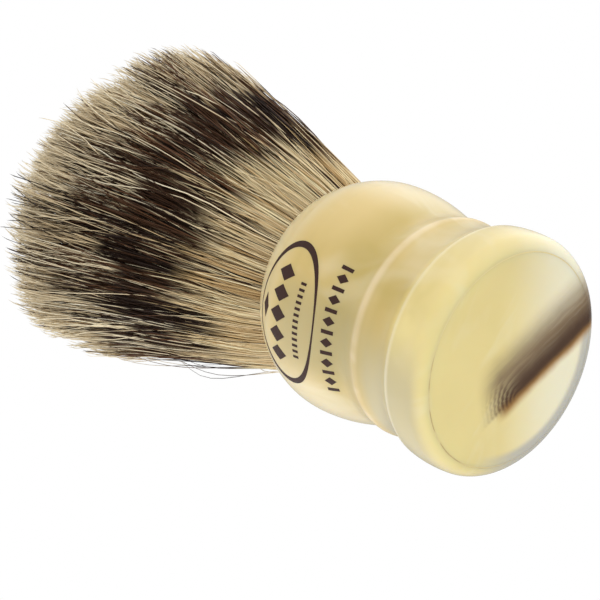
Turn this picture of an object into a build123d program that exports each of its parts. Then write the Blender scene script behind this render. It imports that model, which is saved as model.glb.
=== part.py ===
from build123d import *
import math
import os

# Shaving brush: a turned resin handle with a glued-in foot disc, and a knot of
# badger hair and boar bristle potted in a plug that is cemented into a blind
# socket. Millimetres. +Z runs from the foot to the hair tips. The origin is the
# centre of the circle that the brush stands on.

# --- Driving dimensions -------------------------------------------------------

# Base of the handle
FOOT_CORNER_RADIUS = 16.8
FOOT_EDGE_FILLET = 2.5
BASE_RIM_RADIUS = 17.1
BASE_RIM_HEIGHT = 6.5
BASE_SIDE_CROWN = 0.35

# Foot disc, let into the underside and turned flush with it
DISC_RADIUS = 15.15
DISC_THICKNESS = 3.0
DISH_RADIUS = 13.0
DISH_DEPTH = 0.3

# Waist between the base and the bulb
COVE_DEPTH = 0.85
RIDGE_RADIUS = 16.05
RIDGE_HEIGHT = 13.9
RIDGE_LAND = 0.4
RIM_EDGE_FILLET = 0.6
RIDGE_EDGE_FILLET = 0.3

# Bulb
BULB_RADIUS = 17.4
BULB_HEIGHT = 27.2
BULB_LOWER_ARC_RADIUS = 25.0
BULB_UPPER_SEMI_AXIS = 15.3
NECK_HEIGHT = 17.4
NECK_BLEND = 4.0
LIP_OUTER_RADIUS = 14.5
LIP_EDGE_FILLET = 0.35

# Knot and its socket
KNOT_RADIUS = 13.2
CEMENT_FILM = 0.3
SOCKET_FLOOR_HEIGHT = 21.5
PLUG_HEIGHT = 9.0
FOOT_CEMENT_FILM = 0.15
FOOT_CEMENT_FACE = 0.25

# Thread that ties the hair butts together, in a groove of the plug
THREAD_DIAMETER = 0.7
THREAD_TURNS = 5
THREAD_PLAY = 0.02
GROOVE_DEPTH = 0.8
GROOVE_START = 2.2

# Hair fan
CORE_SHARE = 0.56
FAN_RADIUS = 25.4
FAN_EDGE_HEIGHT = 80.5
FAN_MIDDLE_RADIUS = 20.4
FAN_MIDDLE_HEIGHT = 60.0
FAN_LOWER_RADIUS = 15.3
FAN_LOWER_HEIGHT = 41.5
FAN_MOUTH_SLOPE = 0.35
DOME_RISE = 9.0
FAN_EDGE_FILLET = 4.0
LIP_TO_FAN = 0.4

# --- Worked-out dimensions ----------------------------------------------------

RECESS_RADIUS = DISC_RADIUS + FOOT_CEMENT_FILM
RECESS_FLOOR_HEIGHT = DISC_THICKNESS + FOOT_CEMENT_FILM
SOCKET_RADIUS = KNOT_RADIUS + CEMENT_FILM
PLUG_BOTTOM = SOCKET_FLOOR_HEIGHT + CEMENT_FILM
PLUG_TOP = PLUG_BOTTOM + PLUG_HEIGHT
THREAD_PITCH = THREAD_DIAMETER + THREAD_PLAY
GROOVE_BOTTOM = PLUG_BOTTOM + GROOVE_START
GROOVE_HEIGHT = THREAD_TURNS * THREAD_PITCH
GROOVE_RADIUS = KNOT_RADIUS - GROOVE_DEPTH
FAN_TOP = FAN_EDGE_HEIGHT + DOME_RISE
DOME_SPHERE_RADIUS = (FAN_RADIUS**2 + DOME_RISE**2) / (2 * DOME_RISE)
LIP_HEIGHT = BULB_HEIGHT + BULB_UPPER_SEMI_AXIS * math.sqrt(
    1 - (LIP_OUTER_RADIUS / BULB_RADIUS) ** 2
)
STRAIGHT_HAIR_TOP = LIP_HEIGHT + LIP_TO_FAN


def circle_edges(part, radius, height):
    """The circular edges of a turned part at one radius and height."""
    near = 0.01
    return (
        part.edges()
        .filter_by(GeomType.CIRCLE)
        .filter_by(lambda edge: abs(edge.radius - radius) < near)
        .filter_by(lambda edge: abs(edge.center().Z - height) < near)
    )


# --- Turned blank, from which the handle and the foot disc are cut ------------


def bulb_radius_below_centre(height):
    """Radius of the bulb's lower arc at a height below its widest ring."""
    drop = BULB_HEIGHT - height
    arc_centre = BULB_RADIUS - BULB_LOWER_ARC_RADIUS
    return arc_centre + math.sqrt(BULB_LOWER_ARC_RADIUS**2 - drop**2)


with BuildPart() as blank:
    with BuildSketch(Plane.XZ):
        with BuildLine():
            foot_corner = (FOOT_CORNER_RADIUS, 0)
            base_rim = (BASE_RIM_RADIUS, BASE_RIM_HEIGHT)
            ridge = (RIDGE_RADIUS, RIDGE_HEIGHT)
            ridge_top = (RIDGE_RADIUS, RIDGE_HEIGHT + RIDGE_LAND)
            neck = (bulb_radius_below_centre(NECK_HEIGHT), NECK_HEIGHT)
            widest = (BULB_RADIUS, BULB_HEIGHT)
            lip = (LIP_OUTER_RADIUS, LIP_HEIGHT)
            Line((0, 0), foot_corner)
            SagittaArc(foot_corner, base_rim, -BASE_SIDE_CROWN)
            SagittaArc(base_rim, ridge, COVE_DEPTH)
            Line(ridge, ridge_top)
            Line(ridge_top, neck)
            RadiusArc(neck, widest, -BULB_LOWER_ARC_RADIUS)
            lip_angle = math.degrees(math.acos(LIP_OUTER_RADIUS / BULB_RADIUS))
            EllipticalCenterArc(
                (0, BULB_HEIGHT), BULB_RADIUS, BULB_UPPER_SEMI_AXIS, arc_size=lip_angle
            )
            Line(lip, (0, LIP_HEIGHT))
            Line((0, LIP_HEIGHT), (0, 0))
        make_face()
    revolve(axis=Axis.Z)
    # Edges left by the turning tool, broken and polished
    neck_radius = bulb_radius_below_centre(NECK_HEIGHT)
    fillet(circle_edges(blank, FOOT_CORNER_RADIUS, 0), FOOT_EDGE_FILLET)
    fillet(circle_edges(blank, BASE_RIM_RADIUS, BASE_RIM_HEIGHT), RIM_EDGE_FILLET)
    fillet(circle_edges(blank, RIDGE_RADIUS, RIDGE_HEIGHT), RIDGE_EDGE_FILLET)
    fillet(circle_edges(blank, RIDGE_RADIUS, RIDGE_HEIGHT + RIDGE_LAND), RIDGE_EDGE_FILLET)
    fillet(circle_edges(blank, neck_radius, NECK_HEIGHT), NECK_BLEND)

# --- Handle -------------------------------------------------------------------

with BuildPart() as handle:
    add(blank.part)
    # Blind socket for the knot
    with Locations((0, 0, LIP_HEIGHT)):
        Hole(SOCKET_RADIUS, depth=LIP_HEIGHT - SOCKET_FLOOR_HEIGHT)
    fillet(circle_edges(handle, SOCKET_RADIUS, LIP_HEIGHT), LIP_EDGE_FILLET)
    fillet(circle_edges(handle, LIP_OUTER_RADIUS, LIP_HEIGHT), LIP_EDGE_FILLET)
    # Recess for the foot disc
    with BuildSketch(Plane.XY):
        Circle(RECESS_RADIUS)
    extrude(amount=RECESS_FLOOR_HEIGHT, mode=Mode.SUBTRACT)
handle.part.label = "handle"

# --- Foot disc and its cement -------------------------------------------------

with BuildPart() as foot_disc:
    add(blank.part)
    with BuildSketch(Plane.XY):
        Circle(DISC_RADIUS)
    extrude(amount=DISC_THICKNESS, mode=Mode.INTERSECT)
    # Dish inside the flat ring that the brush stands on
    with BuildSketch(Plane.XZ):
        with BuildLine():
            # A dish this shallow falls by a quarter of its depth half way out
            dish_centre = (0, DISH_DEPTH)
            dish_middle = (DISH_RADIUS / 2, DISH_DEPTH * 3 / 4)
            dish_edge = (DISH_RADIUS, 0)
            ThreePointArc(dish_centre, dish_middle, dish_edge)
            Line(dish_edge, (0, 0))
            Line((0, 0), dish_centre)
        make_face()
    revolve(axis=Axis.Z, mode=Mode.SUBTRACT)
foot_disc.part.label = "foot_disc"

with BuildPart() as foot_cement:
    with BuildSketch(Plane.XY.offset(FOOT_CEMENT_FACE)):
        Circle(RECESS_RADIUS)
    extrude(amount=RECESS_FLOOR_HEIGHT - FOOT_CEMENT_FACE)
    with BuildSketch(Plane.XY):
        Circle(DISC_RADIUS)
    extrude(amount=DISC_THICKNESS, mode=Mode.SUBTRACT)
foot_cement.part.label = "foot_cement"

# --- Knot plug, binding thread and knot cement --------------------------------

with BuildPart() as knot_plug:
    with BuildSketch(Plane.XY.offset(PLUG_BOTTOM)):
        Circle(KNOT_RADIUS)
    extrude(amount=PLUG_HEIGHT)
    with BuildSketch(Plane.XY.offset(GROOVE_BOTTOM)):
        Circle(KNOT_RADIUS)
        Circle(GROOVE_RADIUS, mode=Mode.SUBTRACT)
    extrude(amount=GROOVE_HEIGHT, mode=Mode.SUBTRACT)
knot_plug.part.label = "knot_plug"

with BuildPart() as binding_thread:
    turn_radius = GROOVE_RADIUS + THREAD_PITCH / 2
    for turn in range(THREAD_TURNS):
        turn_height = GROOVE_BOTTOM + (turn + 0.5) * THREAD_PITCH
        with Locations((0, 0, turn_height)):
            Torus(turn_radius, THREAD_DIAMETER / 2)
binding_thread.part.label = "binding_thread"

with BuildPart() as knot_cement:
    with BuildSketch(Plane.XY.offset(SOCKET_FLOOR_HEIGHT)):
        Circle(SOCKET_RADIUS)
    extrude(amount=PLUG_TOP - SOCKET_FLOOR_HEIGHT)
    with BuildSketch(Plane.XY.offset(PLUG_BOTTOM)):
        Circle(KNOT_RADIUS)
    extrude(amount=PLUG_HEIGHT, mode=Mode.SUBTRACT)
knot_cement.part.label = "knot_cement"

# --- Hair ---------------------------------------------------------------------


def fan_wall(share, top):
    """Side of the fan, or of the core at a share of its radius, up to a point."""
    foot = (share * KNOT_RADIUS, PLUG_TOP)
    mouth = (share * KNOT_RADIUS, STRAIGHT_HAIR_TOP)
    lower = (share * FAN_LOWER_RADIUS, FAN_LOWER_HEIGHT)
    middle = (share * FAN_MIDDLE_RADIUS, FAN_MIDDLE_HEIGHT)
    Line(foot, mouth)
    Spline(mouth, lower, middle, top, tangents=[(share * FAN_MOUTH_SLOPE, 1), (0, 1)])


def dome_point(share):
    """Point of the domed end at a share of the fan's radius."""
    radius = share * FAN_RADIUS
    sphere_height = math.sqrt(DOME_SPHERE_RADIUS**2 - radius**2)
    return (radius, FAN_TOP - DOME_SPHERE_RADIUS + sphere_height)


def dome_arc(start_share):
    """Domed end of the hair, from a share of the fan's radius up to the axis."""
    return ThreePointArc(dome_point(start_share), dome_point(start_share / 2), dome_point(0))


with BuildPart() as boar_core:
    with BuildSketch(Plane.XZ):
        with BuildLine():
            dome_arc(CORE_SHARE)
            fan_wall(CORE_SHARE, dome_point(CORE_SHARE))
            Line(dome_point(0), (0, PLUG_TOP))
            Line((0, PLUG_TOP), (CORE_SHARE * KNOT_RADIUS, PLUG_TOP))
        make_face()
    revolve(axis=Axis.Z)
boar_core.part.label = "boar_core"

with BuildPart() as badger_layer:
    with BuildSketch(Plane.XZ):
        with BuildLine():
            dome_arc(1)
            fan_wall(1, dome_point(1))
            Line(dome_point(0), (0, PLUG_TOP))
            Line((0, PLUG_TOP), (KNOT_RADIUS, PLUG_TOP))
        make_face()
    revolve(axis=Axis.Z)
    fillet(circle_edges(badger_layer, FAN_RADIUS, FAN_EDGE_HEIGHT), FAN_EDGE_FILLET)
    add(boar_core.part, mode=Mode.SUBTRACT)
badger_layer.part.label = "badger_layer"

# --- Export -------------------------------------------------------------------

os.makedirs("parts", exist_ok=True)
export_step(handle.part, "parts/handle.step")
export_step(foot_disc.part, "parts/foot_disc.step")
export_step(foot_cement.part, "parts/foot_cement.step")
export_step(knot_plug.part, "parts/knot_plug.step")
export_step(binding_thread.part, "parts/binding_thread.step")
export_step(knot_cement.part, "parts/knot_cement.step")
export_step(boar_core.part, "parts/boar_core.step")
export_step(badger_layer.part, "parts/badger_layer.step")
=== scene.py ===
import math

import bpy
import numpy as np
from mathutils import Matrix, Vector
from mathutils.bvhtree import BVHTree


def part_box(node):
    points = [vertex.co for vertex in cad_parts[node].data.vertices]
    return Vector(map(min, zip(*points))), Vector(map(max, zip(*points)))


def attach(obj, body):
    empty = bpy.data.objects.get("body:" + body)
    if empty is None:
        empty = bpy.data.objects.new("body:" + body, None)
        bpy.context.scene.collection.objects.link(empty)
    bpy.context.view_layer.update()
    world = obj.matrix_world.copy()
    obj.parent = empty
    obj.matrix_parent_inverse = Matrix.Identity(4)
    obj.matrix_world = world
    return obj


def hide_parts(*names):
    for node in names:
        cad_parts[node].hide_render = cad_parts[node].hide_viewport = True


# Looks for a shaving brush that stands on its foot: +Z runs from the foot to the hair tips.
# Lengths are in millimetres until they reach Blender, which is in metres.

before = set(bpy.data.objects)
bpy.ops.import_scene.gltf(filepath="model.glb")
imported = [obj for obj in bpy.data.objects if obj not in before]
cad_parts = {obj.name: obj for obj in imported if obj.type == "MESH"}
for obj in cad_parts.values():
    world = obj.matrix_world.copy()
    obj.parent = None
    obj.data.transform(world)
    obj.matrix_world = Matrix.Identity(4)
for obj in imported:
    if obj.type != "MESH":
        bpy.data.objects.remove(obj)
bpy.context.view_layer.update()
MM = 0.001

# --- Places taken from the frame ----------------------------------------------


def corners(node):
    """The low and high corners of a node's box, in millimetres."""
    return [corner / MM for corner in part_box(node)]


HANDLE_LOW, HANDLE_HIGH = corners("handle")
PLUG_HIGH = corners("knot_plug")[1]
HANDLE_HEIGHT = HANDLE_HIGH.z
BULB_RADIUS = HANDLE_HIGH.x
KNOT_RADIUS = PLUG_HIGH.x
FAN_RADIUS = corners("badger_layer")[1].x
FAN_TOP = corners("boar_core")[1].z

# Rays that look for a surface start this far outside the brush
OUTSIDE = 60.0


# --- Shader building ----------------------------------------------------------


class Signal:
    """A number or colour that flows through a shader, with arithmetic written as usual."""

    def __init__(self, shader, socket):
        self.shader = shader
        self.socket = socket

    def calculate(self, operation, *others):
        node = self.shader.node("Math", operation=operation)
        for socket, value in zip(node.inputs, (self, *others)):
            self.shader.feed(socket, value)
        return Signal(self.shader, node.outputs[0])

    def __add__(self, other):
        return self.calculate("ADD", other)

    def __sub__(self, other):
        return self.calculate("SUBTRACT", other)

    def __mul__(self, other):
        return self.calculate("MULTIPLY", other)

    def __truediv__(self, other):
        return self.calculate("DIVIDE", other)

    def power(self, exponent):
        return self.calculate("POWER", exponent)

    def sine(self):
        return self.calculate("SINE")

    def floor(self):
        return self.calculate("FLOOR")

    def root(self):
        return self.calculate("SQRT")

    def size(self):
        """Its absolute value."""
        return self.calculate("ABSOLUTE")

    def larger(self, other):
        return self.calculate("MAXIMUM", other)

    def above(self, threshold):
        return self.calculate("GREATER_THAN", threshold)

    def ramp(self, low, high, to_low=0.0, to_high=1.0):
        """A smooth step from to_low, at low, to to_high, at high."""
        node = self.shader.node("MapRange", interpolation_type="SMOOTHSTEP")
        for socket, value in zip(node.inputs, (self, low, high, to_low, to_high)):
            self.shader.feed(socket, value)
        return Signal(self.shader, node.outputs[0])

    def band(self, rise, fall):
        """Comes in from 0 to 1 over the rise, and goes out again over the fall."""
        return self.ramp(*rise) * self.ramp(*fall)


class Nodes:
    """A node tree, with short calls for the nodes that it is built from."""

    def __init__(self, tree):
        self.tree = tree

    def node(self, kind, **settings):
        node = self.tree.nodes.new("ShaderNode" + kind)
        for name, value in settings.items():
            setattr(node, name, value)
        return node

    def feed(self, socket, value):
        if isinstance(value, Signal):
            self.tree.links.new(value.socket, socket)
        elif socket.type == "RGBA" and len(value) == 3:
            socket.default_value = (*value, 1.0)
        else:
            socket.default_value = value

    def split(self, vector):
        """The x, y and z of a vector."""
        node = self.node("SeparateXYZ")
        self.feed(node.inputs[0], vector)
        return [Signal(self, out) for out in node.outputs]

    def combined(self, x, y, z):
        node = self.node("CombineXYZ")
        for socket, value in zip(node.inputs, (x, y, z)):
            self.feed(socket, value)
        return Signal(self, node.outputs[0])

    def stretched(self, vector, factors):
        node = self.node("VectorMath", operation="MULTIPLY")
        self.feed(node.inputs[0], vector)
        self.feed(node.inputs[1], factors)
        return Signal(self, node.outputs[0])

    def noise(self, vector, scale, detail=2.0, roughness=0.5, distortion=0.0):
        node = self.node("TexNoise")
        self.feed(node.inputs["Vector"], vector)
        self.feed(node.inputs["Scale"], scale)
        self.feed(node.inputs["Detail"], detail)
        self.feed(node.inputs["Roughness"], roughness)
        self.feed(node.inputs["Distortion"], distortion)
        return Signal(self, node.outputs[0])

    def chance(self, number, salt):
        """A value from 0 to 1, the same wherever number is the same; each salt gives another."""
        node = self.node("TexWhiteNoise", noise_dimensions="1D")
        self.feed(node.inputs["W"], number + salt)
        return Signal(self, node.outputs["Value"])

    def mix(self, factor, first, second):
        node = self.node("Mix", data_type="RGBA", clamp_factor=True)
        self.feed(node.inputs[0], factor)
        self.feed(node.inputs[6], first)
        self.feed(node.inputs[7], second)
        return Signal(self, node.outputs[2])


class Shader(Nodes):
    """A material, with its surface and the point being shaded."""

    def __init__(self, name):
        self.material = bpy.data.materials.new(name)
        self.material.use_nodes = True
        super().__init__(self.material.node_tree)
        self.surface = self.tree.nodes["Principled BSDF"]

    def position(self):
        """The point being shaded, in millimetres: the whole vector, and its x, y and z."""
        scaled = self.node("VectorMath", operation="SCALE")
        self.feed(scaled.inputs[0], Signal(self, self.node("TexCoord").outputs["Object"]))
        self.feed(scaled.inputs["Scale"], 1 / MM)
        place = Signal(self, scaled.outputs[0])
        return place, self.split(place)

    def bump(self, height, strength, distance):
        node = self.node("Bump")
        self.feed(node.inputs["Height"], height)
        self.feed(node.inputs["Strength"], strength)
        self.feed(node.inputs["Distance"], distance)
        self.tree.links.new(node.outputs[0], self.surface.inputs["Normal"])

    def set(self, **values):
        """Feeds the surface's inputs, with _ for the spaces in their names."""
        for name, value in values.items():
            self.feed(self.surface.inputs[name.replace("_", " ")], value)
        return self.material


def dress(node_name, material):
    """Gives a CAD node one material all over."""
    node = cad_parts[node_name]
    node.data.materials.clear()
    node.data.materials.append(material)


def add_object(name, mesh, material):
    """Puts a mesh into the scene as an object, with one material all over."""
    mesh.materials.append(material)
    added = bpy.data.objects.new(name, mesh)
    bpy.context.scene.collection.objects.link(added)
    return added


# --- Imitation-horn resin -----------------------------------------------------

IVORY_FOOT = (0.900, 0.755, 0.335)
IVORY_BULB = (0.715, 0.535, 0.205)
IVORY_DEEP_AND_SHADE = (0.575, 0.430, 0.125)
IVORY_CREST_HIGHLIGHT = (0.960, 0.800, 0.560)
IVORY_OLIVE_SHADE = (0.400, 0.360, 0.200)
IVORY_MILK_AND_LIGHT = (0.990, 0.930, 0.720)
IVORY_SHADE = (0.520, 0.510, 0.465)
IVORY_FLANK_SHADE = (0.580, 0.500, 0.280)
HORN_DARK = (0.068, 0.027, 0.007)
HORN_SMOKE = (0.235, 0.157, 0.083)
HORN_AMBER = (0.400, 0.200, 0.045)

# Heights on the handle, in millimetres, over which a tone comes in and goes out again: painted
# highlights on the base's upper edge and the ridge, painted shade in the cove and the neck, and
# painted shade on one side of the bulb
RIM_HIGHLIGHT_BAND = ((5.7, 6.4), (7.1, 6.6))
COVE_SHADE_BAND = ((6.8, 8.5), (13.2, 11.5))
RIDGE_HIGHLIGHT_BAND = ((13.1, 13.9), (15.0, 14.2))
NECK_SHADE_BAND = ((11.0, 16.5), (24.0, 18.0))
OLIVE_SHADE_BAND = ((10.0, 17.0), (30.5, 26.0))
# Which way the bulb's painted shade faces
OLIVE_SHADE_AZIMUTH = math.radians(-119)

# The horn streak: how it runs over the foot, and how it ends, in millimetres
STREAK_ANGLE = math.radians(30)
STREAK_EDGE = 6.2
STREAK_END = -1.0
STREAK_SLANT = 0.2
STREAK_WOBBLE = 0.6
STREAK_WIDTH = 6.4
STREAK_TAIL = 5.4
STREAK_THINNING = 0.45
LINES_FREQUENCY = 45.0
LINES_WANDER = 9.0
LINES_STRENGTH = 0.4


def horn_streak(shader, spot, place):
    """How dark, smoky and amber the horn streak is: a sheet of pigment through the base.

    One face of the sheet is sharp, with an amber fringe. The other fades out into smoke.
    The sheet ends inside the base in fine lines that curl round its tip.
    """
    x, y, z = place
    cosine, sine = math.cos(STREAK_ANGLE), math.sin(STREAK_ANGLE)
    wobble = (shader.noise(spot, 0.3, detail=3.0) - 0.5) * STREAK_WOBBLE
    along = x * cosine + y * sine
    across = x * sine - y * cosine + z * STREAK_SLANT + STREAK_EDGE + wobble
    flow = shader.combined(along * 0.12, across * 1.3, z * 0.1)
    grain = shader.noise(flow, 1.0, detail=3.0)

    soft_side = across.larger(0.0) / STREAK_WIDTH
    past_end = (along * -1 + STREAK_END).larger(0.0) / STREAK_TAIL
    reach = (soft_side.power(2.0) + past_end.power(2.0)).root()
    lines = ((reach * LINES_FREQUENCY + grain * LINES_WANDER).sine() + 1.0) * 0.5
    faint = lines * along.ramp(1.0, -3.5) * across.ramp(5.5, 2.5) * -LINES_STRENGTH + 1.0

    ending = along - (across - 2.0) * 0.3
    thinning = across + z.larger(0.0) * STREAK_THINNING
    strength = ending.ramp(-8.8, -3.2) * z.ramp(12.5, 6.0)
    smoke = thinning.ramp(10.3, 4.0) * across.ramp(0.2, 1.0) * grain.ramp(0.2, 0.6, 0.85, 1.0)
    dark = thinning.ramp(4.8, 1.3) * across.ramp(-0.5, 1.0) * ending.ramp(-6.6, -2.4)
    amber = across.ramp(-1.5, 0.3) * across.ramp(1.8, 0.8) * ending.ramp(-5.6, -2.6)
    return dark * faint * strength, smoke * faint * strength, amber * strength


def streaked(shader, spot, place, colour):
    """A colour with the horn streak over it."""
    dark, smoke, amber = horn_streak(shader, spot, place)
    colour = shader.mix(smoke, colour, HORN_SMOKE)
    colour = shader.mix(amber, colour, HORN_AMBER)
    return shader.mix(dark, colour, HORN_DARK)


def base_tones(place):
    """Painted light and shade on the foot: lighter towards its far side, a greyish painted shade on
    its edge there, and painted shade on either side.
    """
    x, y, z = place
    radius = (x * x + y * y).root()
    # Painted light: the foot lighter and milkier towards its far side, low down
    far_side_light = (x * 0.45 + y * 0.8).ramp(-3.0, 10.0) * z.ramp(6.0, 2.0)
    # Greyish painted shade on the foot's edge at its far side
    behind = (y * 0.95 - x * 0.2) / radius
    far_edge_shade = radius.ramp(13.2, 14.4) * behind.ramp(0.25, 0.85) * z.ramp(3.5, 1.2)
    # Painted shade on the side towards -x, above the foot's edge, and more lightly towards +x, up to
    # the cove
    near_flank_shade = (x * -1.0 - y * 0.2).ramp(4.5, 13.5) * z.ramp(0.2, 2.0)
    far_flank_shade = x.ramp(5.0, 15.0) * 0.3
    flank_shade = near_flank_shade.larger(far_flank_shade) * z.ramp(14.2, 11.5)
    return far_side_light, far_edge_shade, flank_shade


def bulb_tones(place):
    """How much paler the bulb is at its mouth and, as painted light, at its sides, and a khaki painted
    shade on one side of it.
    """
    x, y, z = place
    radius = (x * x + y * y).root()
    # Painted light on the bulb's sides towards +x and -x; the bulb is also paler towards its mouth
    lit_flanks = x.size().ramp(11.0, 17.5) * z.ramp(15.0, 19.0)
    mouth_pale_and_lit_flanks = z.ramp(28.0, 35.0).larger(lit_flanks)
    # Khaki painted shade on the side of the bulb that faces that azimuth
    facing = (x * math.cos(OLIVE_SHADE_AZIMUTH) + y * math.sin(OLIVE_SHADE_AZIMUTH)) / radius
    olive_shade = facing.ramp(0.87, 1.0) * z.band(*OLIVE_SHADE_BAND)
    return mouth_pale_and_lit_flanks, olive_shade


def resin_colour(shader, spot, place):
    """Cloudy ivory, in tones laid one over another, with painted light and shade among them, and the
    horn streak over them all.
    """
    height = place[2]
    clouds = shader.noise(spot, 0.055, detail=3.0, distortion=0.6)
    veils = shader.noise(shader.stretched(spot, (0.6, 1.3, 0.35)), 0.16, detail=2.0, distortion=0.9)
    far_side_light, far_edge_shade, flank_shade = base_tones(place)
    mouth_pale_and_lit_flanks, olive_shade = bulb_tones(place)
    # The clouds darken the resin here and there; painted shade darkens the cove and the neck
    clouds_and_crease_shade = clouds.ramp(0.42, 0.70) * height.ramp(0.5, 5.0, 0.12, 0.5)
    clouds_and_crease_shade = clouds_and_crease_shade + height.band(*NECK_SHADE_BAND) * 0.75 + height.band(*COVE_SHADE_BAND) * 0.45
    # Painted highlight along the top of the ridge
    crest_highlight = height.band(*RIDGE_HIGHLIGHT_BAND) * veils.ramp(0.35, 0.65, 0.2, 0.45)
    # Milky painted highlight along the base's upper edge, stronger where its sides are shaded
    rim_highlight = height.band(*RIM_HIGHLIGHT_BAND) * (flank_shade * 0.15 + 0.25)
    # Tones in order: clouds with painted shade, milky veils, painted shade on the sides and on the
    # bulb, paler mouth with painted light, painted highlights, then painted light and greyish painted
    # shade on the foot's far side
    tones = [
        (clouds_and_crease_shade, IVORY_DEEP_AND_SHADE),
        (veils.ramp(0.50, 0.78) * 0.22, IVORY_MILK_AND_LIGHT),
        (flank_shade * 0.9, IVORY_FLANK_SHADE),
        (olive_shade * 0.5, IVORY_OLIVE_SHADE),
        (mouth_pale_and_lit_flanks * 0.4, IVORY_MILK_AND_LIGHT),
        (crest_highlight, IVORY_CREST_HIGHLIGHT),
        (rim_highlight, IVORY_MILK_AND_LIGHT),
        (far_side_light * 0.85, IVORY_MILK_AND_LIGHT),
        (far_edge_shade * 0.85, IVORY_SHADE),
    ]
    colour = shader.mix(height.ramp(4.0, 11.0), IVORY_FOOT, IVORY_BULB)
    for strength, tone in tones:
        colour = shader.mix(strength, colour, tone)
    return streaked(shader, spot, place, colour)


def resin_material(name):
    """Polished resin that light enters a little way."""
    shader = Shader(name)
    spot, place = shader.position()
    smudges = shader.noise(spot, 0.22, detail=4.0, roughness=0.6)
    shader.bump(shader.noise(spot, 0.5, detail=2.0), 0.05, 0.05 * MM)
    return shader.set(
        Base_Color=resin_colour(shader, spot, place),
        Roughness=smudges.ramp(0.3, 0.75, 0.13, 0.22),
        IOR=1.53,
        Subsurface_Weight=0.3,
        Subsurface_Radius=(1.0, 0.75, 0.4),
        Subsurface_Scale=1.6 * MM,
    )


# --- Glue, plug and thread ----------------------------------------------------

GLUE_TONES = ((0.80, 0.64, 0.27), (0.90, 0.76, 0.36))
GLUE_STAIN = (0.54, 0.37, 0.13)
PLUG_TONES = ((0.16, 0.09, 0.04), (0.46, 0.32, 0.16))
COTTON_TONES = ((0.52, 0.47, 0.36), (0.78, 0.73, 0.60))

# The foot's level is read this far beside the groove, and the glue is sunk into it by the drop
SEAM_INSET = 0.05
SEAM_DROP = 0.005
SEAM_DEPTH = 0.8
SEAM_SIDES = 192


def cement_material():
    """Clear amber glue, stained brown in broken lengths of the foot's seam, with greyish painted shade
    towards its far side.
    """
    shader = Shader("cement_amber")
    spot, place = shader.position()
    x, y, _ = place
    grain = shader.noise(spot, 1.4, detail=3.0)
    breaks = shader.noise(spot, 0.22, detail=1.0)
    stain = (x * -0.85 - y * 0.53).ramp(8.5, 14.0) * breaks.ramp(0.42, 0.56, 0.15, 1.0)
    colour = shader.mix(grain, *GLUE_TONES)
    # Greyish painted shade over the seam towards its far side, like the foot's edge there
    colour = shader.mix(y.ramp(2.0, 12.0) * 0.7, colour, IVORY_SHADE)
    colour = shader.mix(stain * 0.75, colour, GLUE_STAIN)
    colour = streaked(shader, spot, place, colour)
    return shader.set(Base_Color=colour, Roughness=grain.ramp(0.2, 0.8, 0.35, 0.6))


def seam_height(node, radius):
    """Height of a node's underside at a radius from the axis, in millimetres."""
    surface = BVHTree.FromObject(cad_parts[node], bpy.context.evaluated_depsgraph_get())
    below = Vector((radius, 0.0, -OUTSIDE)) * MM
    point, _, _, _ = surface.ray_cast(below, Vector((0.0, 0.0, 1.0)))
    return point.z / MM


def foot_seam(material):
    """The ring of glue between the disc and the handle, filled almost level with the foot."""
    inner = corners("foot_disc")[1].x
    outer = corners("foot_cement")[1].x
    inner_level = seam_height("foot_disc", inner - SEAM_INSET) + SEAM_DROP
    outer_level = seam_height("handle", outer + SEAM_INSET) + SEAM_DROP
    section = [(inner, inner_level), (outer, outer_level)]
    section += [(outer, outer_level + SEAM_DEPTH), (inner, inner_level + SEAM_DEPTH)]
    vertices, faces = [], []
    for turn in range(SEAM_SIDES):
        angle = 2 * math.pi * turn / SEAM_SIDES
        first, following = turn * len(section), (turn + 1) % SEAM_SIDES * len(section)
        for corner, (radius, level) in enumerate(section):
            other = (corner + 1) % len(section)
            vertices.append(Vector((radius * math.cos(angle), radius * math.sin(angle), level)) * MM)
            faces.append((first + corner, first + other, following + other, following + corner))
    mesh = bpy.data.meshes.new("foot_seam")
    mesh.from_pydata(vertices, [], faces)
    piece = add_object("foot_seam", mesh, material)
    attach(piece, "root")
    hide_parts("foot_cement")


def plug_material():
    """Brown resin, streaked upwards by the hair butts cast in it."""
    shader = Shader("plug_resin")
    spot, _ = shader.position()
    butts = shader.noise(shader.stretched(spot, (1.0, 1.0, 0.08)), 3.0, detail=2.0)
    colour = shader.mix(butts.ramp(0.35, 0.7), *PLUG_TONES)
    shader.bump(butts, 0.3, 0.1 * MM)
    return shader.set(Base_Color=colour, Roughness=butts.ramp(0.2, 0.8, 0.3, 0.55))


def thread_material():
    """Twisted cotton, rough and unbleached."""
    shader = Shader("thread_cotton")
    spot, _ = shader.position()
    twist = shader.noise(shader.stretched(spot, (1.0, 1.0, 3.0)), 2.2, detail=3.0)
    colour = shader.mix(twist, *COTTON_TONES)
    shader.bump(twist, 0.5, 0.1 * MM)
    return shader.set(Base_Color=colour, Roughness=twist.ramp(0.2, 0.8, 0.7, 0.95))


cement = cement_material()
dress("handle", resin_material("horn_resin"))
dress("foot_disc", resin_material("foot_resin"))
dress("knot_cement", cement)
dress("knot_plug", plug_material())
dress("binding_thread", thread_material())
foot_seam(cement)

# --- Hair ---------------------------------------------------------------------

HAIR_SEED = 2026

# Heights where the hairs start, where they leave the handle and where the fan is widest
HAIR_ROOT = PLUG_HIGH.z + 0.3
MOUTH = HANDLE_HEIGHT + 0.3
FAN_EDGE = 81.0

# A full hair's length from the mouth on, and how a hair is divided: its last step is short
FULL_LENGTH = 53.0
SEGMENTS = 12
SIDES = 3
HAIR_STEPS = np.append(np.linspace(0.0, 0.975, SEGMENTS), 1.0)
HAIR_VERTICES = SEGMENTS * SIDES + 1

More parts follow.
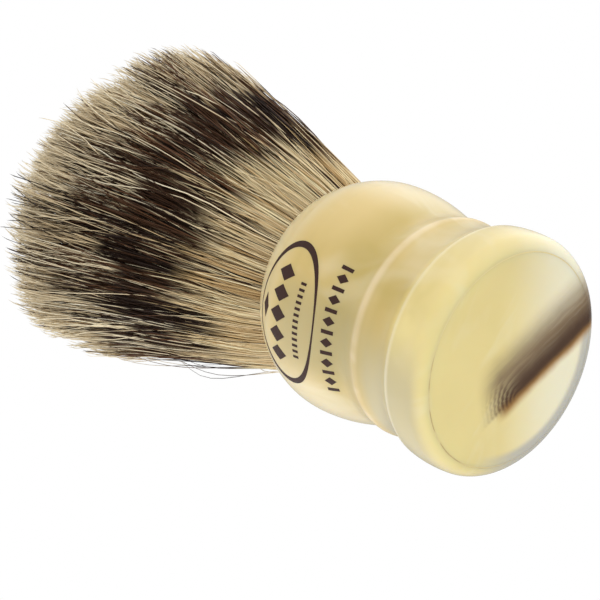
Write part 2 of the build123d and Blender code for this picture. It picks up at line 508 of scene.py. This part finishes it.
# The hairs' UV layer: colour columns across, and the mouth and a full hair's length up
COLOUR_COLUMNS = 64
COLUMN_MARGIN = 0.15
UV_MOUTH = 0.02
UV_LENGTH = 0.9
UV_LIMITS = (0.003, 0.997)

# How single hairs stray, in millimetres at the tips
LEAN_LIMIT = 3.2
HAIR_WAVE = 0.8
WAVE_TURNS = (0.5, 1.9)
HAIR_CURL = 0.9
INWARD_DROOP = 0.15
OUTWARD_SPREAD = 0.35
OUTWARD_WAVE = 0.25

# The fan's outline: its radius at the mouth, twice over the lip, halfway up and at its edge
OUTLINE_HEIGHTS = [MOUTH, MOUTH + 2.5, MOUTH + 5.5, MOUTH + 24.0, FAN_EDGE]
OUTLINE_RADII = [KNOT_RADIUS, KNOT_RADIUS + 1.1, KNOT_RADIUS + 2.1, 20.6, FAN_RADIUS + 0.8]

# The fan's domed end: how far its middle stands above the frame's, and how its edge falls off
DOME_EXCESS = 0.8
DOME_DROP = 8.6
DOME_ROUNDNESS = 2.4

rng = np.random.default_rng(HAIR_SEED)


def smooth(value):
    """A smooth step from 0, at 0, to 1, at 1."""
    value = np.clip(value, 0.0, 1.0)
    return value * value * (3 - 2 * value)


def fan_outline(height):
    """Radius of the fan at a height: tight in the socket, over the lip, then flaring."""
    return np.interp(height, OUTLINE_HEIGHTS, OUTLINE_RADII)


def tip_height(share):
    """Height of the domed end at a share of the fan's radius."""
    return FAN_TOP + DOME_EXCESS - DOME_DROP * share**DOME_ROUNDNESS


def scatter(count, inner=0.0, outer=1.0):
    """Points spread evenly over a ring of the unit disc."""
    radius = np.sqrt(rng.uniform(inner**2, outer**2, count))
    angle = rng.uniform(0, 2 * np.pi, count)
    return np.stack([radius * np.cos(angle), radius * np.sin(angle)], axis=1)


def nearest(points, centres):
    """Index of the centre that is nearest to each point."""
    result = np.empty(len(points), dtype=int)
    for start in range(0, len(points), 1000):
        block = points[start : start + 1000, None] - centres[None]
        result[start : start + 1000] = (block**2).sum(axis=2).argmin(axis=1)
    return result


# The knot is lopsided: longer on one side, flared along x, and bent a little
LONG_SIDE_AZIMUTH = math.radians(-140)
LONG_SIDE = np.array([math.cos(LONG_SIDE_AZIMUTH), math.sin(LONG_SIDE_AZIMUTH)])
LONG_SIDE_OVERLAP = 0.15
LONG_SIDE_EXCESS = 2.2
CORNER_START = 0.65
CORNER_EXCESS = 1.2
FLARE_PLACES = [-1.0, -0.5, 0.5, 1.0]
FLARES = [1.8, 0.0, 0.0, 0.8]
KNOT_BEND = 0.45

# Hairs gather in fine tufts, and the tufts in broad locks
LOCK_COUNT = 70
LOCK_PULL = 0.24
TUFT_COUNT = 620
TUFT_SWAY = 1.1
GATHER_START = 0.2
LOCKS = scatter(LOCK_COUNT)
TUFTS = scatter(TUFT_COUNT)
TUFT_PULL = rng.uniform(0.4, 1.0, TUFT_COUNT)
TUFT_TRIM = rng.normal(0.0, 0.6, TUFT_COUNT)
TUFT_LEAN = rng.normal(0.0, TUFT_SWAY, TUFT_COUNT)
TUFT_COLUMN = rng.integers(0, COLOUR_COLUMNS, TUFT_COUNT)


def gathered(roots, tuft, rise):
    """Places in the unit disc along each hair, as it bunches towards its tuft and lock."""
    lock = LOCKS[nearest(roots, LOCKS)]
    gather = smooth((rise - GATHER_START) / (1.0 - GATHER_START))[..., None]
    pull = TUFT_PULL[tuft][:, None, None]
    place = roots[:, None] + (TUFTS[tuft] - roots)[:, None] * gather * pull
    return place + (lock - roots)[:, None] * gather * LOCK_PULL


def strayed(roots, lean, rise):
    """How far each hair strays sideways and outwards on its way up, in millimetres."""
    each = (len(roots), 1)
    turns = rng.uniform(*WAVE_TURNS, each) * 2 * np.pi
    phase = rng.uniform(0, 2 * np.pi, each)
    wave = np.sin(phase + turns * rise) - np.sin(phase)
    curl = rng.normal(0.0, HAIR_CURL, each) * rise**4
    sideways = lean[:, None] * rise**1.3 + curl
    sideways = sideways + rng.normal(0.0, HAIR_WAVE, each) * wave * rise**0.5
    outwards = rng.normal(-INWARD_DROOP, OUTWARD_SPREAD, each) * rise
    outwards = outwards + OUTWARD_WAVE * wave * rise
    outwards = outwards + np.interp(roots[:, :1], FLARE_PLACES, FLARES) * rise**3
    return sideways[..., None], outwards[..., None]


def hair_paths(roots, trim, sway):
    """Centre lines of hairs, in millimetres: one row of points for each root.

    Each hair bunches towards its tuft, and sways sideways with its tuft and by itself.
    """
    tuft = nearest(roots, TUFTS)
    share = np.linalg.norm(roots, axis=1)
    longer = LONG_SIDE_EXCESS * smooth(roots @ LONG_SIDE + LONG_SIDE_OVERLAP)
    corner = (-roots[:, 0] - CORNER_START) / (1.0 - CORNER_START)
    longer = longer + CORNER_EXCESS * smooth(corner)
    top = tip_height(share) + longer + TUFT_TRIM[tuft] - trim
    height = HAIR_ROOT + (top[:, None] - HAIR_ROOT) * HAIR_STEPS
    rise = np.clip((height - MOUTH) / (FAN_EDGE - MOUTH), 0.0, 1.1)
    own_lean = np.clip(rng.standard_t(4, len(roots)), -LEAN_LIMIT, LEAN_LIMIT)
    sideways, outwards = strayed(roots, TUFT_LEAN[tuft] + own_lean * sway, rise)

    outward = roots / share[:, None]
    around = np.stack([-outward[:, 1], outward[:, 0]], axis=1)
    flat = gathered(roots, tuft, rise) * fan_outline(height)[..., None]
    flat = flat + around[:, None] * sideways
    flat = flat + outward[:, None] * outwards
    flat[..., 0] += KNOT_BEND * np.sin(np.pi * np.clip(rise, 0.0, 1.0) ** 1.5)
    return np.concatenate([flat, height[..., None]], axis=2)


def hair_points(paths, thickness):
    """A ring of corners round each point of the centre lines, except one corner at the tip."""
    count = len(paths)
    along = np.gradient(paths, axis=1)
    along /= np.linalg.norm(along, axis=2, keepdims=True)
    spin = rng.uniform(0, 2 * np.pi, count)
    guide = np.stack([np.cos(spin), np.sin(spin), np.zeros(count)], axis=1)[:, None, :]
    side = guide - (guide * along).sum(axis=2, keepdims=True) * along
    side /= np.linalg.norm(side, axis=2, keepdims=True)
    other = np.cross(along, side)
    corner = np.arange(SIDES) * 2 * np.pi / SIDES
    wheel = side[:, :, None] * np.cos(corner)[:, None] + other[:, :, None] * np.sin(corner)[:, None]
    points = paths[:, :, None] + wheel * (thickness / 2)[:, :, None, None]
    return points.reshape(count, -1, 3)[:, :HAIR_VERTICES]


def hair_faces():
    """The corners of one hair's faces, in a row, and how many corners each face has.

    Quads run up the sides, and triangles close the tip and the root.
    """
    ring = np.arange(SEGMENTS - 1)[:, None] * SIDES
    first = np.arange(SIDES)
    second = (first + 1) % SIDES
    body = np.stack([ring + first, ring + second, ring + SIDES + second, ring + SIDES + first], axis=2)
    last_ring, tip = HAIR_VERTICES - 1 - SIDES, HAIR_VERTICES - 1
    point = [(last_ring + a, last_ring + b, tip) for a, b in zip(first, second)]
    loops = np.concatenate([body.ravel(), np.ravel(point), [2, 1, 0]])
    totals = [4] * (SEGMENTS - 1) * SIDES + [3] * SIDES + [3]
    return loops, totals


def hair_uv(paths, columns, loops):
    """The UV of every corner of every face: colour column in u, distance from the mouth in v.

    The distance is measured along the hair, as if each one started at HAIR_ROOT.
    """
    length = np.linalg.norm(np.diff(paths, axis=1), axis=2)
    distance = np.concatenate([np.zeros((len(paths), 1)), np.cumsum(length, axis=1)], axis=1)
    from_mouth = (distance - (MOUTH - HAIR_ROOT)) / FULL_LENGTH
    strip = (1.0 - 2 * COLUMN_MARGIN) / SIDES
    quads = (SEGMENTS - 1) * SIDES
    side = np.concatenate([np.repeat(np.arange(quads) % SIDES, 4), np.repeat(range(SIDES), 3)])
    right = np.concatenate([np.tile([0, 1, 1, 0], quads), np.tile([0.0, 1.0, 0.5], SIDES)])
    in_column = np.concatenate([COLUMN_MARGIN + strip * (side + right), [0.2, 0.5, 0.8]])
    u = (columns[:, None] + in_column) / COLOUR_COLUMNS
    v = np.clip(UV_MOUTH + UV_LENGTH * from_mouth[:, loops // SIDES], *UV_LIMITS)
    return np.stack([u, v], axis=2)


def hair_mesh(name, paths, thickness, columns, material):
    """Tapered three-sided hairs along the paths, joined in one object."""
    count = len(paths)
    points = hair_points(paths, thickness)
    loops, totals = hair_faces()
    all_loops = loops + np.arange(count)[:, None] * HAIR_VERTICES
    all_totals = np.tile(totals, count)
    mesh = bpy.data.meshes.new(name)
    mesh.vertices.add(count * HAIR_VERTICES)
    mesh.vertices.foreach_set("co", (points * MM).ravel())
    mesh.loops.add(all_loops.size)
    mesh.loops.foreach_set("vertex_index", all_loops.ravel())
    mesh.polygons.add(len(all_totals))
    mesh.polygons.foreach_set("loop_start", np.concatenate([[0], np.cumsum(all_totals)[:-1]]))
    mesh.polygons.foreach_set("use_smooth", np.ones(len(all_totals), dtype=bool))
    layer = mesh.uv_layers.new(name="OFBake")
    layer.data.foreach_set("uv", hair_uv(paths, columns, loops).ravel())
    mesh.update(calc_edges=True)
    return add_object(name, mesh, material)


def hair_colour_inputs(shader):
    """A hair's colour column, and its distance from the mouth as a share of a full hair."""
    layer = shader.node("UVMap", uv_map="OFBake")
    u, v, _ = shader.split(Signal(shader, layer.outputs[0]))
    return (u * COLOUR_COLUMNS).floor(), (v - UV_MOUTH) / UV_LENGTH


# Shares of the badger hair columns that are dark down to the mouth, standing both for dark hairs and
# for painted shade between the tufts, and that are dark up to the tip
DARK_ROOT_AND_SHADE_SHARE = 0.09
DARK_TIP_SHARE = 0.24

BADGER_ROOTS = ((0.670, 0.455, 0.205), (1.000, 0.885, 0.580))
BADGER_TIPS = ((0.560, 0.410, 0.220), (1.000, 0.880, 0.630))
BADGER_BANDS = ((0.018, 0.008, 0.004), (0.150, 0.066, 0.028))
BADGER_END = (1.000, 0.920, 0.720)
BOAR_ROOTS = ((0.600, 0.390, 0.165), (0.980, 0.830, 0.550))
BOAR_TIPS = ((0.760, 0.610, 0.370), (0.960, 0.890, 0.700))


def badger_material():
    """Banded hair: blond root, near-black band, cream tip, different in every column.

    Lengths are shares of a full hair. In some columns the band starts at the mouth, or runs
    on to the tip.
    """
    shader = Shader("badger_hair")
    column, length = hair_colour_inputs(shader)
    # Columns dark from the root: dark hairs, and painted shade between the tufts at the root
    dark_root_and_shade = shader.chance(column, 61.7).above(1.0 - DARK_ROOT_AND_SHADE_SHARE)
    dark_tip = shader.chance(column, 83.1).above(1.0 - DARK_TIP_SHARE)
    band_start = shader.chance(column, 11.3) * 0.26 + 0.17 - dark_root_and_shade * 0.3
    band_end = shader.chance(column, 47.9) * 0.32 + 0.51 + dark_tip * 0.45
    entering = (length - band_start) / 0.11
    leaving = (band_end - length) / 0.06
    band = entering.ramp(-0.6, 0.6) * leaving.ramp(-0.6, 0.6)
    tone = shader.chance(column, 5.7)
    root = shader.mix(tone, *BADGER_ROOTS)
    dark = shader.mix(tone.power(2.5), *BADGER_BANDS)
    tip = shader.mix(shader.chance(column, 29.5), *BADGER_TIPS)
    tip = shader.mix(length.ramp(0.75, 1.0) * 0.5, tip, BADGER_END)
    colour = shader.mix(length.ramp(0.3, 0.7), root, tip)
    colour = shader.mix(band, colour, dark)
    return shader.set(Base_Color=colour, Roughness=0.5, Specular_IOR_Level=0.12)


def bristle_material():
    """Undyed boar bristle: golden at the root and paler towards its tip."""
    shader = Shader("boar_bristle")
    column, length = hair_colour_inputs(shader)
    tone = shader.chance(column, 17.7)
    root = shader.mix(tone, *BOAR_ROOTS)
    tip = shader.mix(tone, *BOAR_TIPS)
    colour = shader.mix(length.ramp(0.1, 0.8), root, tip)
    return shader.set(Base_Color=colour, Roughness=0.42, Specular_IOR_Level=0.35)


TAPER_STEPS = [0.0, 0.6, 1.0]
THICKNESS_SPREAD = (0.8, 1.25)


def taper(count, root, middle, tip):
    """Hair diameters along each hair, in millimetres, a little different on each."""
    profile = np.interp(HAIR_STEPS, TAPER_STEPS, [root, middle, tip])
    return profile * rng.uniform(*THICKNESS_SPREAD, (count, 1))


def columns_for(roots, loyalty):
    """Colour columns: a share of the hairs, loyalty, follow their tuft's own."""
    own = rng.integers(0, COLOUR_COLUMNS, len(roots))
    shared = TUFT_COLUMN[nearest(roots, TUFTS)]
    return np.where(rng.uniform(size=len(roots)) < loyalty, shared, own)


def grow(name, node, slot, material, count, ring, sizes, sway, trim, loyalty):
    """Adds one piece of hair that stands for a CAD node, rooted over a ring of the knot.

    The ring is in shares of the knot's radius. Sizes are diameters at root, middle and tip.
    """
    roots = scatter(count, *ring)
    shortened = np.abs(rng.normal(0.0, trim, count))
    paths = hair_paths(roots, shortened, sway)
    piece = hair_mesh(name, paths, taper(count, *sizes), columns_for(roots, loyalty), material)
    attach(piece, "root")
    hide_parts(node)


BADGER = badger_material()
BRISTLE = bristle_material()
BADGER_SIZES = (0.125, 0.165, 0.120)
BRISTLE_SIZES = (0.200, 0.200, 0.140)
OUTER_HAIRS = {"count": 2750, "sizes": BADGER_SIZES, "sway": 1.2, "trim": 1.0, "loyalty": 0.6}
CORE_HAIRS = {"count": 1500, "sizes": BADGER_SIZES, "sway": 1.0, "trim": 1.2, "loyalty": 0.55}
CORE_BRISTLES = {"count": 700, "sizes": BRISTLE_SIZES, "sway": 1.4, "trim": 1.5, "loyalty": 0.3}
MIXED_BRISTLES = {"count": 1050, "sizes": BRISTLE_SIZES, "sway": 1.6, "trim": 2.0, "loyalty": 0.3}

for number, inner in enumerate((0.50, 0.60, 0.75), start=1):
    name = f"badger_hair_{number}"
    grow(name, "badger_layer", "badger_hair", BADGER, ring=(inner, 1.0), **OUTER_HAIRS)
grow("badger_hair_core", "boar_core", "badger_hair", BADGER, ring=(0.0, 0.55), **CORE_HAIRS)
grow("boar_bristle_core", "boar_core", "boar_bristle", BRISTLE, ring=(0.0, 0.6), **CORE_BRISTLES)
grow("boar_bristle_mix", "badger_layer", "boar_bristle", BRISTLE, ring=(0.6, 1.0), **MIXED_BRISTLES)

# Loose hairs: how many all round and in the wisp, how they bow out, and where their tips are
AROUND_COUNT = 20
AROUND_BULGES = (0.3, 1.4)
WISP_COUNT = 9
WISP_BULGES = (0.6, 2.6)
WISP_SPREAD = 0.35
LOOSE_SIZES = (0.09, 0.11, 0.06)
LOOSE_START = MOUTH - 4.0
LOOSE_INSET = 0.985
LOOSE_TOPS = (62.0, 84.0)
LOOSE_DELAYS = (1.5, 2.4)
LOOSE_DRIFT = 7.0


def stray_paths(angles, bulges, delays, tops, drifts):
    """Centre lines of loose hairs on the outside: each bows out by its bulge, in millimetres.

    A greater delay moves the bow towards the tip. The drift carries the tip sideways.
    """
    height = LOOSE_START + (tops[:, None] - LOOSE_START) * HAIR_STEPS
    bow = np.sin(np.pi * HAIR_STEPS ** delays[:, None]) ** 1.2
    radius = fan_outline(height) * LOOSE_INSET + bulges[:, None] * bow
    angle = angles[:, None] + drifts[:, None] * HAIR_STEPS**1.5 / FAN_RADIUS
    return np.stack([radius * np.cos(angle), radius * np.sin(angle), height], axis=2)


def loose_hairs():
    """Stray fine hairs round the outside, with a wisp of them on one side."""
    count = AROUND_COUNT + WISP_COUNT
    around = rng.uniform(-np.pi, np.pi, AROUND_COUNT)
    angles = np.concatenate([around, rng.normal(np.pi, WISP_SPREAD, WISP_COUNT)])
    around = rng.uniform(*AROUND_BULGES, AROUND_COUNT)
    bulges = np.concatenate([around, rng.uniform(*WISP_BULGES, WISP_COUNT)])
    tops = rng.uniform(*LOOSE_TOPS, count)
    delays = rng.uniform(*LOOSE_DELAYS, count)
    paths = stray_paths(angles, bulges, delays, tops, rng.normal(0.0, LOOSE_DRIFT, count))
    columns = rng.integers(0, COLOUR_COLUMNS, count)
    piece = hair_mesh("badger_hair_loose", paths, taper(count, *LOOSE_SIZES), columns, BADGER)
    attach(piece, "root")


loose_hairs()

# --- Printed mark -------------------------------------------------------------

MARK_AZIMUTH = math.radians(-115)
MARK_HEIGHT = 27.6
INK_LIFT = 0.02
INK_DEPTH = 0.06
INK_STEP = 0.35
INK_LANES = 5
INK_TONES = ((0.026, 0.009, 0.006), (0.060, 0.024, 0.016))

# The stretch of the bulb's side, between the neck and the lip, that the mark is laid on
SIDE_START = 15.0
SIDE_MARGIN = 0.4
SIDE_STEP = 0.2
HANDLE_SURFACE = BVHTree.FromObject(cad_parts["handle"], bpy.context.evaluated_depsgraph_get())


def surface_point(azimuth, height):
    """Point and outward normal of the handle at an azimuth and a height in millimetres."""
    outward = Vector((math.cos(azimuth), math.sin(azimuth), 0.0))
    start = outward * OUTSIDE + Vector((0.0, 0.0, height))
    point, normal, _, _ = HANDLE_SURFACE.ray_cast(start * MM, -outward)
    return point / MM, normal


def height_along_bulb():
    """Height against distance up the bulb's side, which starts at the mark's middle."""
    heights = np.arange(HANDLE_LOW.z + SIDE_START, HANDLE_HEIGHT - SIDE_MARGIN, SIDE_STEP)
    radii = np.array([surface_point(MARK_AZIMUTH, height)[0].xy.length for height in heights])
    steps = np.hypot(np.diff(heights), np.diff(radii))
    distance = np.concatenate([[0.0], np.cumsum(steps)])
    return distance - np.interp(MARK_HEIGHT, heights, distance), heights


BULB_DISTANCES, BULB_HEIGHTS = height_along_bulb()


def on_bulb(across, up):
    """Point and normal at a distance across and up from the mark's middle, in millimetres."""
    height = float(np.interp(up, BULB_DISTANCES, BULB_HEIGHTS))
    return surface_point(MARK_AZIMUTH + across / BULB_RADIUS, height)


class Ink:
    """Thin closed strokes that lie on the bulb, gathered in one mesh."""

    def __init__(self):
        self.vertices = []
        self.faces = []

    def stroke(self, path, widths, closed=False):
        """A strip along the path of (across, up) points, as wide as widths says at each."""
        path, widths = np.array(path, float), np.array(widths, float)
        if closed:
            tangent = np.roll(path, -1, axis=0) - np.roll(path, 1, axis=0)
        else:
            tangent = np.gradient(path, axis=0)
        tangent /= np.linalg.norm(tangent, axis=1, keepdims=True)
        normal = np.stack([-tangent[:, 1], tangent[:, 0]], axis=1)
        first = len(self.vertices)
        for centre, direction, width in zip(path, normal, widths):
            for lane in np.linspace(-0.5, 0.5, INK_LANES):
                point, outward = on_bulb(*(centre + direction * width * lane))
                self.vertices.append((point + outward * INK_LIFT) * MM)
                self.vertices.append((point - outward * INK_DEPTH) * MM)
        self.skin(first, len(path), closed)

    def skin(self, first, rows, closed):
        """Faces over rows of vertices, from the first vertex on: top, underside, edges, ends."""
        per_row = INK_LANES * 2
        last = per_row - 2
        for row in range(rows if closed else rows - 1):
            here = first + row * per_row
            there = first + (row + 1) % rows * per_row
            for a, b in zip(range(here, here + last, 2), range(there, there + last, 2)):
                self.faces.append((a, a + 2, b + 2, b))
                self.faces.append((a + 1, b + 1, b + 3, a + 3))
            self.faces.append((here, there, there + 1, here + 1))
            self.faces.append((here + last, here + last + 1, there + last + 1, there + last))
        if not closed:
            end = first + (rows - 1) * per_row
            for a, b in zip(range(first, first + last, 2), range(end, end + last, 2)):
                self.faces.append((a, a + 1, a + 3, a + 2))
                self.faces.append((b, b + 2, b + 3, b + 1))

    def bar(self, start, end, width):
        """A straight stroke of even width."""
        start, end = np.array(start, float), np.array(end, float)
        count = max(3, int(np.linalg.norm(end - start) / INK_STEP) + 2)
        path = start + (end - start) * np.linspace(0, 1, count)[:, None]
        self.stroke(path, np.full(count, width))

    def lozenge(self, centre, half_length, half_width):
        """A diamond of the given half sizes across and up."""
        count = 9
        place = np.linspace(-1.0, 1.0, count)
        path = np.array(centre) + np.stack([place * half_length, np.zeros(count)], axis=1)
        self.stroke(path, 2 * half_width * (1.02 - np.abs(place)))

    def oval(self, half_length, half_height, width):
        """An outline that is thick at its two ends and thin between them."""
        count = 96
        angle = np.linspace(0, 2 * np.pi, count, endpoint=False)
        path = np.stack([half_length * np.cos(angle), half_height * np.sin(angle)], axis=1)
        self.stroke(path, width * (0.35 + 1.0 * np.cos(angle) ** 2), closed=True)

    def piece(self, name, material):
        """Adds the strokes as one piece that rides on the brush."""
        mesh = bpy.data.meshes.new(name)
        mesh.from_pydata(self.vertices, [], self.faces)
        piece = add_object(name, mesh, material)
        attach(piece, "root")


def ink_material():
    """Dark brown ink, a little worn."""
    shader = Shader("ink_brown")
    spot, _ = shader.position()
    wear = shader.noise(spot, 2.5, detail=3.0)
    colour = shader.mix(wear, *INK_TONES)
    shader.bump(wear, 0.2, 0.01 * MM)
    roughness = wear.ramp(0.2, 0.8, 0.45, 0.65)
    return shader.set(Base_Color=colour, Roughness=roughness, Specular_IOR_Level=0.25)


def print_mark():
    """A plain mark without letters, in millimetres across and up from its middle.

    An oval holds a lozenge over a row of lozenges and a row of ticks. Under the oval is a row
    of bars, with a lozenge between each two.
    """
    ink = Ink()
    ink.oval(10.5, 6.0, 0.75)
    ink.lozenge((0.2, 4.3), 1.9, 0.8)
    for across in (-6.0, -3.0, 0.0, 3.0, 6.0):
        ink.lozenge((across, 0.9), 1.25, 1.7)
    for across in np.arange(-5.4, 5.5, 0.9):
        ink.bar((across, -3.4), (across, -2.4), 0.4)
    for across in np.arange(-9.9, 10.0, 3.3):
        ink.bar((across, -9.3), (across, -7.4), 0.6)
    for across in np.arange(-8.25, 9.0, 3.3):
        ink.lozenge((across, -8.35), 0.75, 0.95)
    ink.piece("printed_mark", ink_material())


print_mark()

# --- Stage --------------------------------------------------------------------


def floor_material():
    """Pale from above, and clear from below, where the camera looks up through it."""
    shader = Shader("floor_pale")
    shader.set(Base_Color=(0.80, 0.80, 0.79), Roughness=0.7)
    shader.set(Emission_Color=(1.0, 1.0, 1.0), Emission_Strength=0.2)
    clear = shader.node("BsdfTransparent")
    choice = shader.node("MixShader")
    facing = shader.node("NewGeometry").outputs["Backfacing"]
    shader.tree.links.new(facing, choice.inputs[0])
    shader.tree.links.new(shader.surface.outputs[0], choice.inputs[1])
    shader.tree.links.new(clear.outputs[0], choice.inputs[2])
    output = shader.tree.nodes["Material Output"]
    shader.tree.links.new(choice.outputs[0], output.inputs["Surface"])
    return shader.material


FLOOR_HALF = 3000.0
FLOOR_LEVEL = -0.1


def make_floor():
    """A wide floor just under the foot, which the light passes as if it weren't there."""
    mesh = bpy.data.meshes.new("floor")
    signs = ((-1, -1), (1, -1), (1, 1), (-1, 1))
    edge = [Vector((x * FLOOR_HALF, y * FLOOR_HALF, FLOOR_LEVEL)) * MM for x, y in signs]
    mesh.from_pydata(edge, [], [(0, 1, 2, 3)])
    floor = add_object("floor", mesh, floor_material())
    floor.visible_diffuse = False
    floor.visible_glossy = False
    floor.visible_shadow = False
    floor.visible_transmission = False


# The brush as the camera sees it: its axis rises to the left and leans away, foot nearest
AXIS_RISE = math.radians(24.6)
AXIS_LEAN = math.radians(44.9)
FOOT_SEEN = Vector((28.35, -8.18, -267.6))
FOCAL_LENGTH = 120.0
SENSOR_WIDTH = 36.0


def make_camera():
    """Places the camera from where it sees the foot's centre and which way the axis runs.

    The view's own directions are right, up and towards the camera.
    """
    flat = math.cos(AXIS_LEAN)
    axis = Vector((-flat * math.cos(AXIS_RISE), flat * math.sin(AXIS_RISE), -math.sin(AXIS_LEAN)))
    away = Vector((0, 0, -1))
    back = (away - away.dot(axis) * axis).normalized()
    right = back.cross(axis)
    turn = Matrix((right, back, axis))
    data = bpy.data.cameras.new("camera")
    data.sensor_width = SENSOR_WIDTH
    data.lens = FOCAL_LENGTH
    camera = bpy.data.objects.new("camera", data)
    camera.matrix_world = Matrix.Translation(-(turn @ FOOT_SEEN) * MM) @ turn.to_4x4()
    bpy.context.scene.collection.objects.link(camera)
    bpy.context.scene.camera = camera


# The room's light: the walls on either side, and the low light between them by depth
WALL_SHIFT = 0.04
WALL_START = 0.2
WALL_END = 0.95
WALL_LIGHT = 1.47
DEPTH_START = -0.7
DEPTH_END = 0.8
DEPTH_SLOPE = -0.6
NEAR_LIGHT = 0.70
FAR_LIGHT = 0.40


def make_world():
    """A white room with a bright wall on either side of the brush, and pure white to the lens."""
    world = bpy.data.worlds.new("tent")
    world.use_nodes = True
    room = Nodes(world.node_tree)
    background = room.tree.nodes["Background"]
    direction = Signal(room, room.node("TexCoord").outputs["Generated"])
    x, y, z = room.split(direction)
    depth = z.size() * DEPTH_SLOPE + y
    low_light = depth.ramp(DEPTH_START, DEPTH_END, NEAR_LIGHT, FAR_LIGHT)
    light = (x + WALL_SHIFT).size().ramp(WALL_START, WALL_END, low_light, WALL_LIGHT)
    choose = room.node("Mix")
    path = room.node("LightPath")
    room.feed(choose.inputs["Factor"], Signal(room, path.outputs["Is Camera Ray"]))
    room.feed(choose.inputs["A"], light)
    room.feed(choose.inputs["B"], 1.0)
    room.feed(background.inputs["Strength"], Signal(room, choose.outputs["Result"]))
    room.feed(background.inputs["Color"], (1.0, 1.0, 1.0))
    bpy.context.scene.world = world


make_floor()
make_camera()
make_world()
bpy.context.scene.view_settings.view_transform = "Standard"
